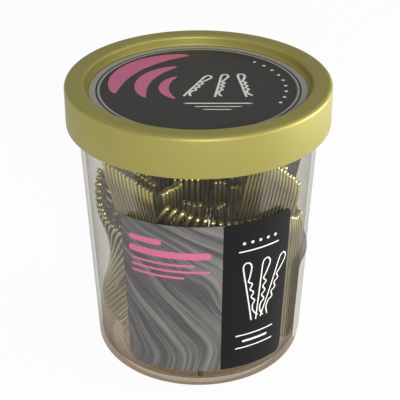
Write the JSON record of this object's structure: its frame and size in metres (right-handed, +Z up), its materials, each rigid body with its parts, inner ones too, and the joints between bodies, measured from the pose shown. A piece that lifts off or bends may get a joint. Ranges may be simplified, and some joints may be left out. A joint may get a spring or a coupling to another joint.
{
  "type": "tub of bobby pins",
  "caption": "Clear round tub with a press-on gold lid, labelled on front, back and lid, packed with strips of gold crimped bobby pins.",
  "frame": {"origin": "centre of the tub's underside, on the plane it stands on", "axes": "+Z up along the tub's axis; the front label faces -Y; +X to the right seen from the front"},
  "size_m": [0.08, 0.08, 0.0919],
  "materials": {
    "clear_tub": "clear, slightly grey moulded plastic",
    "gold_lid": "satin metallic gold moulded plastic",
    "lid_print": "printed and varnished disc",
    "front_print": "printed and varnished sheet",
    "back_print": "white printed sheet",
    "gold_pin": "gold lacquer on spring steel"
  },
  "bodies": {
    "tub_body": {"tub": "clear_tub", "front_label": "front_print", "back_label": "back_print", "left_low_strip": "gold_pin", "front_low_strip": "gold_pin", "left_upper_strip": "gold_pin", "left_inner_strip": "gold_pin", "front_left_strip": "gold_pin", "front_right_strip": "gold_pin", "right_upper_strip": "gold_pin", "back_upper_right_strip": "gold_pin", "right_low_strip": "gold_pin", "back_right_strip": "gold_pin", "back_strip": "gold_pin", "back_upper_strip": "gold_pin", "back_upper_left_strip": "gold_pin", "back_left_strip": "gold_pin", "centre_strip": "gold_pin", "rear_strip": "gold_pin", "inner_right_strip": "gold_pin", "corner_strip": "gold_pin", "stray_pin": "gold_pin"},
    "lid_body": {"lid": "gold_lid", "lid_label": "lid_print"}
  },
  "joints": [
    {"name": "lid_lift", "type": "slide", "parent": "tub_body", "child": "lid_body", "axis": [0, 0, 1], "range_m": [0, 0.1]}
  ]
}
